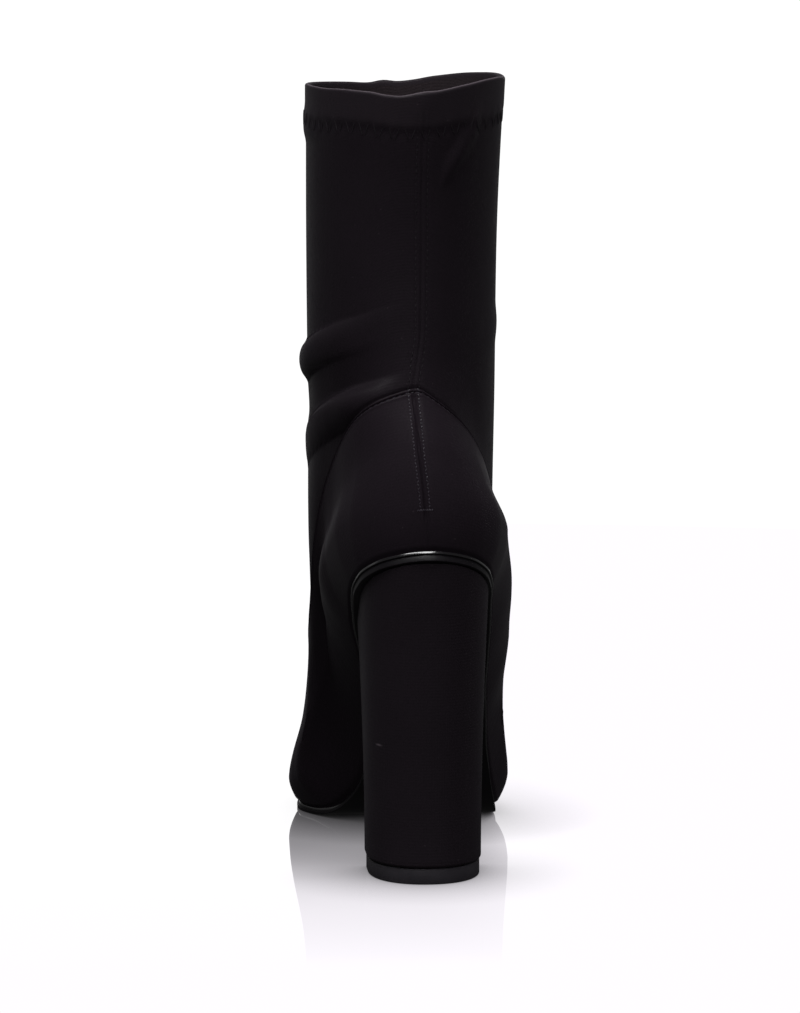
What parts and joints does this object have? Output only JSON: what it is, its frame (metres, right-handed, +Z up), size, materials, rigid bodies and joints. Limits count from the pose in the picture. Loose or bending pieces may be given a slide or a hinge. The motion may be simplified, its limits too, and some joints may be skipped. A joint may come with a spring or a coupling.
{
  "type": "heeled ankle boot",
  "caption": "Black pull-on stretch sock ankle boot for the right foot, with an almond toe, a glossy wrapped rand and a high covered block heel.",
  "frame": {"origin": "on the floor, at the centre of the heel's top piece", "axes": "+Z up, +Y from the heel to the toe, +X to the lateral (outer) side of the right foot"},
  "size_m": [0.0806, 0.2167, 0.2802],
  "materials": {
    "stretch_cloth": "black stretch knit with a faint sheen",
    "insole_cloth": "matt black lining cloth",
    "wrapped_cord": "glossy black coated wrap",
    "sole_rubber": "satin black",
    "heel_cloth": "black stretch knit drawn tight over the block",
    "top_piece_rubber": "satin charcoal"
  },
  "bodies": {
    "root": {"upper": "stretch_cloth", "insole": "insole_cloth", "rand": "wrapped_cord", "outsole": "sole_rubber", "heel": "heel_cloth", "top_piece": "top_piece_rubber"}
  },
  "joints": []
}
